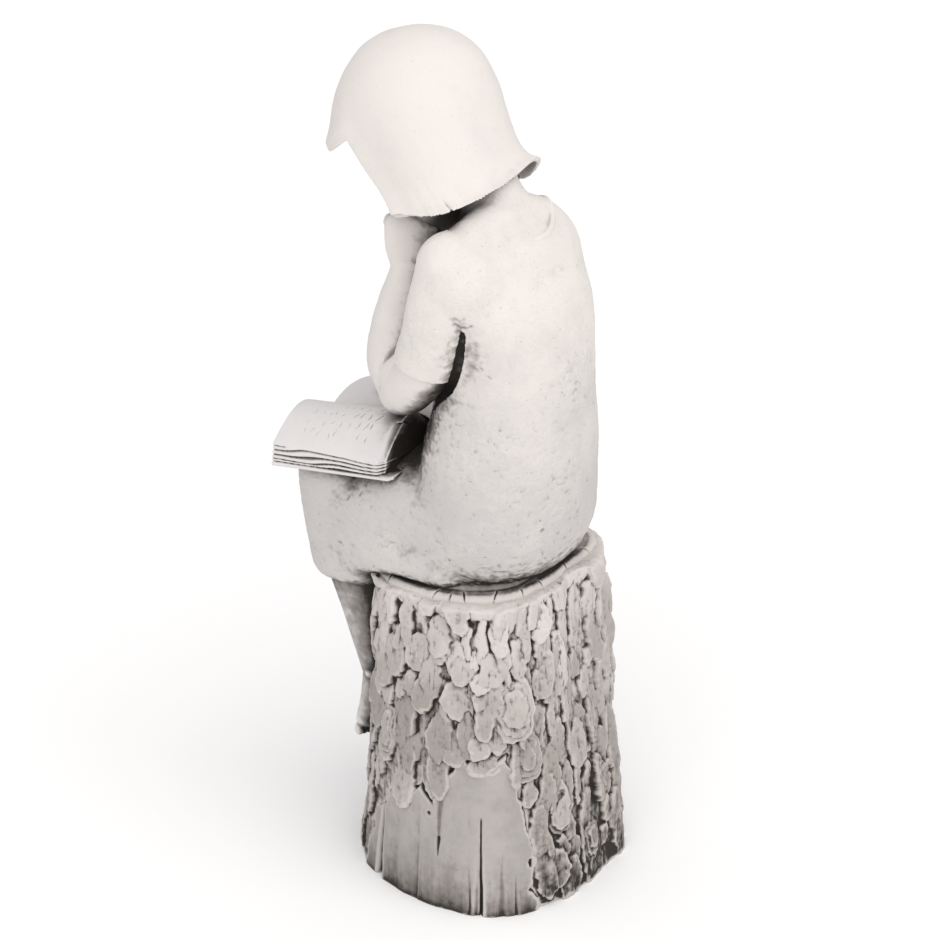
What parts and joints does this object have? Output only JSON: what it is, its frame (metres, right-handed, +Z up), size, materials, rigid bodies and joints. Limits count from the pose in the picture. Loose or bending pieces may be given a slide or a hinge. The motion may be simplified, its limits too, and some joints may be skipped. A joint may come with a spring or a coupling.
{
  "type": "girl garden statue",
  "caption": "Cast stone garden statue of a girl in a short-sleeved dress, sitting on a bark-covered tree stump, chin on hand, reading an open book.",
  "frame": {"origin": "middle of the stump's flat underside", "axes": "+Z up, along the statue's height; the girl faces -Y, and her left side is +X"},
  "size_m": [0.251, 0.3027, 0.7996],
  "materials": {
    "cast_stone": "matt reconstituted stone with a fine trowelled grain, creamy white on the girl, taupe grey on the stump, with dark grey weathering in the hollows"
  },
  "bodies": {
    "root": {"girl_on_stump": "cast_stone"}
  },
  "joints": []
}
